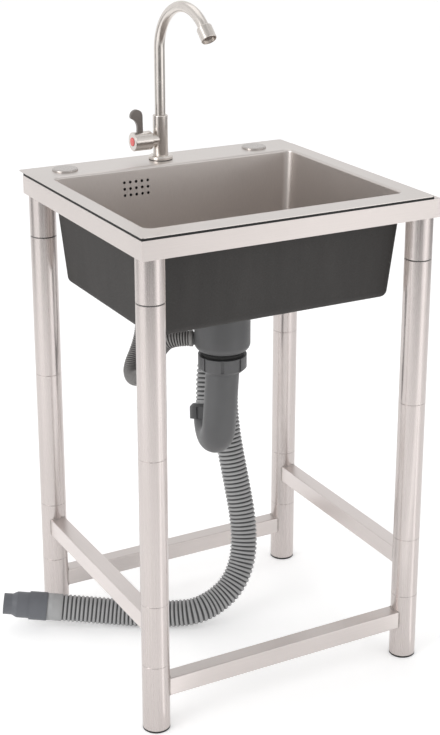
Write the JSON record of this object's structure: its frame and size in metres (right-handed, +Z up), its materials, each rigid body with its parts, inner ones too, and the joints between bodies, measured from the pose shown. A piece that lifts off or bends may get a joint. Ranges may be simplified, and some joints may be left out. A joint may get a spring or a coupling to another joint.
{
  "type": "freestanding sink",
  "caption": "Freestanding stainless steel sink: deep bowl on a knock-down tube stand, with swan-neck tap, lever valve, lift-out strainer, trap and ribbed drain hoses.",
  "frame": {"origin": "on the floor under the middle of the outer box, without the hoses", "axes": "+Z up, +X to the right along the front, +Y to the back where the tap stands"},
  "size_m": [0.5612, 0.438, 1.01],
  "materials": {
    "frame_steel": "bright satin",
    "sink_steel": "brushed",
    "sleeve_plastic": "matte",
    "foot_plastic": "matte",
    "coating": "matte sound-deadening coat",
    "black_rubber": "matte",
    "satin_nickel": "satin",
    "brass": "turned",
    "ceramic": "ground ceramic",
    "red_plastic": "gloss",
    "drain_plastic": "moulded",
    "hose_plastic": "moulded",
    "adapter_plastic": "moulded"
  },
  "bodies": {
    "stand": {"apron_front": "frame_steel", "apron_back": "frame_steel", "apron_left": "frame_steel", "apron_right": "frame_steel", "leg_sockets": "frame_steel", "front_rail": "frame_steel", "back_rail": "frame_steel", "left_rail": "frame_steel", "right_rail": "frame_steel", "leg_upper_tube_front_left": "frame_steel", "leg_middle_tube_front_left": "frame_steel", "leg_lower_tube_front_left": "frame_steel", "leg_bottom_tube_front_left": "frame_steel", "leg_upper_tube_front_right": "frame_steel", "leg_middle_tube_front_right": "frame_steel", "leg_lower_tube_front_right": "frame_steel", "leg_bottom_tube_front_right": "frame_steel", "leg_upper_tube_back_left": "frame_steel", "leg_middle_tube_back_left": "frame_steel", "leg_lower_tube_back_left": "frame_steel", "leg_bottom_tube_back_left": "frame_steel", "leg_upper_tube_back_right": "frame_steel", "leg_middle_tube_back_right": "frame_steel", "leg_lower_tube_back_right": "frame_steel", "leg_bottom_tube_back_right": "frame_steel", "sink_deck": "sink_steel", "sink_bowl": "sink_steel", "hole_covers": "sink_steel", "drain_flange": "sink_steel", "drain_screw": "sink_steel", "leg_spigots": "sleeve_plastic", "leg_feet": "foot_plastic", "bowl_coating": "coating", "rim_gasket": "black_rubber", "drain_gasket": "black_rubber", "tap_base_seal": "black_rubber", "overflow_seal": "black_rubber", "tap_base_flange": "satin_nickel", "tap_body": "satin_nickel", "tap_mounting_nut": "brass", "valve_cartridge": "brass", "drain_body": "drain_plastic", "trap_inlet_nut": "drain_plastic", "trap_bend": "drain_plastic", "trap_outlet_nut": "drain_plastic", "overflow_elbow": "drain_plastic", "drain_hose": "hose_plastic", "overflow_hose": "hose_plastic", "hose_end_adapter": "adapter_plastic"},
    "handle": {"handle_knob": "satin_nickel", "handle_lever": "satin_nickel", "index_cap": "red_plastic", "valve_spindle": "brass", "valve_disc": "ceramic"},
    "spout": {"spout_tube": "satin_nickel", "spout_seals": "black_rubber", "aerator": "satin_nickel"},
    "strainer": {"strainer_basket": "sink_steel", "strainer_seal": "black_rubber"}
  },
  "joints": [
    {"name": "lever_turn", "type": "hinge", "parent": "stand", "child": "handle", "pos_m": [-0.049, 0.184, 0.7866], "axis": [1, 0, 0], "range_deg": [0, 90]},
    {"name": "spout_swivel", "type": "hinge", "parent": "stand", "child": "spout", "pos_m": [-0.013, 0.184, 0.8256], "axis": [0, 0, 1], "continuous": true},
    {"name": "strainer_lift", "type": "slide", "parent": "stand", "child": "strainer", "axis": [0, 0, 1], "range_m": [0, 0.22]}
  ]
}
